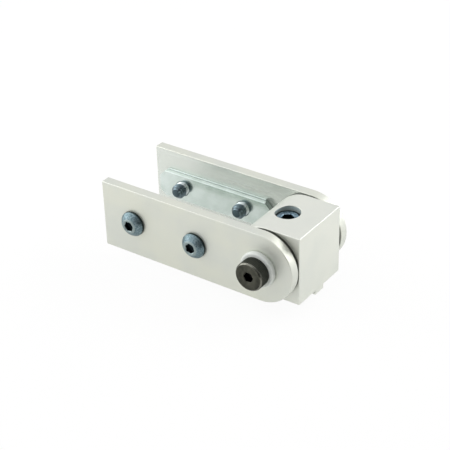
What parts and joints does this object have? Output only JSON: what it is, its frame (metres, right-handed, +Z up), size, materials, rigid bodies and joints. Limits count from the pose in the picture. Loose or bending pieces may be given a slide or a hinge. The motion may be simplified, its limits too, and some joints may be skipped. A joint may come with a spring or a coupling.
{
  "type": "profile hinge",
  "caption": "Pivot for slotted aluminium profile: flat arms swing on a keyed block on flanged bushes and clamp a profile between them with long T-nuts.",
  "frame": {"origin": "middle of the block's base face, on the axis of its fixing screw and over the middle of its key", "axes": "+X along the key, out of the block's flat front, away from the arms; +Y along the pivot axis to the far arm; +Z up, out of the profile that the block is screwed to"},
  "size_m": [0.1195, 0.0728, 0.046],
  "materials": {
    "anodised_block": "clear anodised, satin",
    "anodised_arm": "clear anodised, satin",
    "black_oxide_steel": "black oxide",
    "white_bush": "moulded, matte",
    "blue_zinc_steel": "blue zinc plated",
    "bright_zinc_steel": "bright zinc plated"
  },
  "bodies": {
    "base": {"pivot_block": "anodised_block", "near_pivot_screw": "black_oxide_steel", "far_pivot_screw": "black_oxide_steel", "near_thrust_washer": "white_bush", "far_thrust_washer": "white_bush", "base_screw": "blue_zinc_steel", "base_t_nut": "bright_zinc_steel"},
    "near_leaf": {"near_arm": "anodised_arm", "near_flange_bush": "white_bush", "near_front_screw": "blue_zinc_steel", "near_rear_screw": "blue_zinc_steel", "near_t_nut": "bright_zinc_steel"},
    "far_leaf": {"far_arm": "anodised_arm", "far_flange_bush": "white_bush", "far_front_screw": "blue_zinc_steel", "far_rear_screw": "blue_zinc_steel", "far_t_nut": "bright_zinc_steel"}
  },
  "joints": [
    {"name": "near_arm_swing", "type": "hinge", "parent": "base", "child": "near_leaf", "pos_m": [0, -0.0235, 0.0195], "axis": [0, 1, 0], "range_deg": [0, 105]},
    {"name": "far_arm_swing", "type": "hinge", "parent": "base", "child": "far_leaf", "pos_m": [0, 0.0235, 0.0195], "axis": [0, 1, 0], "range_deg": [0, 105]}
  ]
}
